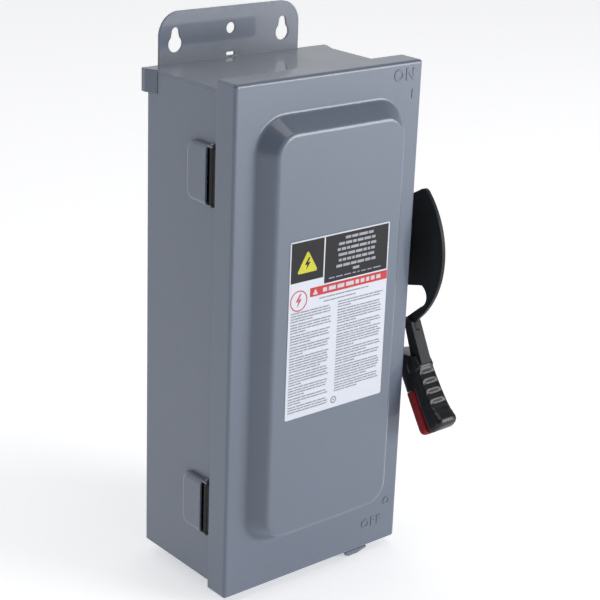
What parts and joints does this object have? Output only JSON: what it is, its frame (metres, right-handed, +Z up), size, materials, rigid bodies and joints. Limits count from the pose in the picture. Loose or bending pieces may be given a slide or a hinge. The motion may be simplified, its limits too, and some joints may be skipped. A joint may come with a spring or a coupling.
{
  "type": "safety switch disconnect box",
  "caption": "Wall-hung steel disconnect box with a hinged cover, a side lever and a knife switch with fuse clips inside.",
  "frame": {"origin": "middle of the box back face, where it lies on the wall", "axes": "+Z up, +Y into the wall, +X to the right of a person facing the cover"},
  "size_m": [0.1919, 0.1435, 0.413],
  "materials": {
    "box_paint": "semi-gloss grey baked enamel",
    "cover_paint": "semi-gloss grey baked enamel",
    "label": "printed film",
    "zinc_steel": "zinc plated",
    "hinge_steel": "black oxide",
    "spring_steel": "oiled spring wire",
    "bronze": "sintered bronze",
    "shaft_steel": "turned",
    "lever_black": "satin black powder coat",
    "grip_black": "moulded, satin",
    "grip_red": "moulded, satin",
    "insulator_black": "moulded thermoset",
    "insulator_grey": "moulded thermoset",
    "clear_guard": "clear polycarbonate",
    "copper": "bare copper, slightly dull",
    "lug_aluminium": "tin plated"
  },
  "bodies": {
    "enclosure": {"enclosure_wrap": "box_paint", "top_end_wall": "box_paint", "bottom_end_wall": "box_paint", "bottom_knockouts": "box_paint", "hinge_pins": "zinc_steel", "latch_bracket": "cover_paint", "latch_rivets": "cover_paint", "latch_pin": "zinc_steel", "bearing_plate": "zinc_steel", "bearing_rivets": "zinc_steel", "shaft_bushing": "bronze", "mechanism_frame": "zinc_steel", "mechanism_screws": "zinc_steel", "interlock_post": "zinc_steel", "switch_base": "insulator_black", "fuse_base": "insulator_black", "base_screws": "zinc_steel", "line_jaw_left": "copper", "hinge_contact_left": "copper", "arc_chute_left": "insulator_grey", "line_jaw_middle": "copper", "hinge_contact_middle": "copper", "arc_chute_middle": "insulator_grey", "line_jaw_right": "copper", "hinge_contact_right": "copper", "arc_chute_right": "insulator_grey", "arc_plates": "zinc_steel", "upper_fuse_clips": "copper", "lower_fuse_clips": "copper", "line_lugs": "lug_aluminium", "load_lugs": "lug_aluminium", "lug_screws": "zinc_steel", "earth_bar": "lug_aluminium", "earth_screws": "zinc_steel", "line_shield": "clear_guard"},
    "cover": {"cover_pan": "cover_paint", "upper_hinge_leaf": "hinge_steel", "lower_hinge_leaf": "hinge_steel", "label_plate": "label", "cover_catch": "zinc_steel"},
    "latch": {"cover_latch": "cover_paint"},
    "handle": {"lever_guard": "lever_black", "lever_neck": "lever_black", "grip_front": "grip_black", "grip_rear": "grip_red", "grip_screws": "zinc_steel", "handle_shaft": "shaft_steel", "hub_screw": "zinc_steel", "drive_crank": "zinc_steel"},
    "blades": {"knife_blade_left": "copper", "knife_blade_middle": "copper", "knife_blade_right": "copper", "crossbar": "insulator_grey", "blade_rivets": "zinc_steel", "crossbar_arm": "zinc_steel"},
    "toggle": {"toggle_guide": "zinc_steel", "toggle_spring": "spring_steel"},
    "interlock": {"interlock_lever": "zinc_steel"}
  },
  "joints": [
    {"name": "cover_hinge", "type": "hinge", "parent": "enclosure", "child": "cover", "pos_m": [-0.08, -0.0795, 0], "axis": [0, 0, -1], "range_deg": [0, 110]},
    {"name": "handle_pivot", "type": "hinge", "parent": "enclosure", "child": "handle", "pos_m": [0.097, -0.058, 0.043], "axis": [-1, 0, 0], "range_deg": [0, 120]},
    {"name": "blade_swing", "type": "hinge", "parent": "enclosure", "child": "blades", "pos_m": [-0.015, -0.058, 0.043], "axis": [-1, 0, 0], "range_deg": [0, 60]},
    {"name": "toggle_swing", "type": "hinge", "parent": "enclosure", "child": "toggle", "pos_m": [0.0705, -0.058, -0.017], "axis": [1, 0, 0], "range_deg": [0, 25.78]},
    {"name": "interlock_swing", "type": "hinge", "parent": "enclosure", "child": "interlock", "pos_m": [0.0675, -0.07, 0.08], "axis": [-1, 0, 0], "range_deg": [0, 15]},
    {"name": "latch_swing", "type": "hinge", "parent": "enclosure", "child": "latch", "pos_m": [0.0475, -0.078, -0.189], "axis": [1, 0, 0], "range_deg": [-4.5, 10]}
  ],
  "couplings": [
    {"joint": "blade_swing", "follows": "handle_pivot", "ratio": 0.5},
    {"joint": "toggle_swing", "follows": "handle_pivot", "ratio": 0.21476},
    {"joint": "interlock_swing", "follows": "handle_pivot", "ratio": 0.125}
  ]
}
